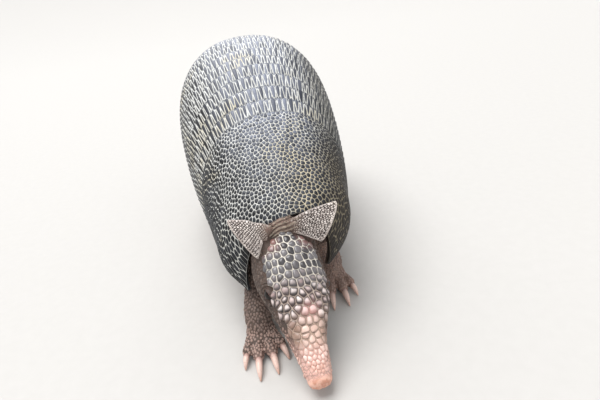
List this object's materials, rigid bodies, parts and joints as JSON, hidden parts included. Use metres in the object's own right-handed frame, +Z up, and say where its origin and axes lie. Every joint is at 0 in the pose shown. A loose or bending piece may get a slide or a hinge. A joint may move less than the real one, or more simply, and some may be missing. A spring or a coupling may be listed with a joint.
{
  "type": "nine-banded armadillo model",
  "caption": "Life-size still armadillo standing on all fours with its head down and snout at the ground, armoured back, ears folded back and tail trailing on the floor.",
  "frame": {"origin": "on the floor, under the middle of the bounding box", "axes": "+Z up, +Y towards the tail, so the animal faces -Y; +X to its left"},
  "size_m": [0.1594, 0.6588, 0.194],
  "materials": {
    "shell": "horny scutes, slate grey with cream seams, satin",
    "head_shell": "polygonal scutes, dark grey at the crown and pinkish towards the nose, satin",
    "skin": "wrinkled grey-brown to pink skin with small scales and sparse pale hair",
    "ear": "grey-taupe, fine granules in rows",
    "claw": "horn, yellowish to pink, worn at the tip",
    "eye": "near-black, glossy"
  },
  "bodies": {
    "root": {"band_1": "shell", "band_2": "shell", "band_3": "shell", "band_4": "shell", "band_5": "shell", "band_6": "shell", "band_7": "shell", "band_8": "shell", "band_9": "shell", "ear_left": "ear", "ear_right": "ear", "eye_left": "eye", "eye_right": "eye", "forefoot_left": "skin", "forefoot_left_claw_1": "claw", "forefoot_left_claw_2": "claw", "forefoot_left_claw_3": "claw", "forefoot_left_claw_4": "claw", "forefoot_right": "skin", "forefoot_right_claw_1": "claw", "forefoot_right_claw_2": "claw", "forefoot_right_claw_3": "claw", "forefoot_right_claw_4": "claw", "foreleg_left": "skin", "foreleg_right": "skin", "head": "skin", "head_shield": "head_shell", "hindfoot_left": "skin", "hindfoot_left_claw_1": "claw", "hindfoot_left_claw_2": "claw", "hindfoot_left_claw_3": "claw", "hindfoot_left_claw_4": "claw", "hindfoot_left_claw_5": "claw", "hindfoot_right": "skin", "hindfoot_right_claw_1": "claw", "hindfoot_right_claw_2": "claw", "hindfoot_right_claw_3": "claw", "hindfoot_right_claw_4": "claw", "hindfoot_right_claw_5": "claw", "hindleg_left": "skin", "hindleg_right": "skin", "neck": "skin", "pelvic_shield": "shell", "scapular_shield": "shell", "tail_ring_1": "shell", "tail_ring_10": "shell", "tail_ring_11": "shell", "tail_ring_12": "shell", "tail_ring_2": "shell", "tail_ring_3": "shell", "tail_ring_4": "shell", "tail_ring_5": "shell", "tail_ring_6": "shell", "tail_ring_7": "shell", "tail_ring_8": "shell", "tail_ring_9": "shell", "tail_tip": "shell", "trunk": "skin"}
  },
  "joints": []
}
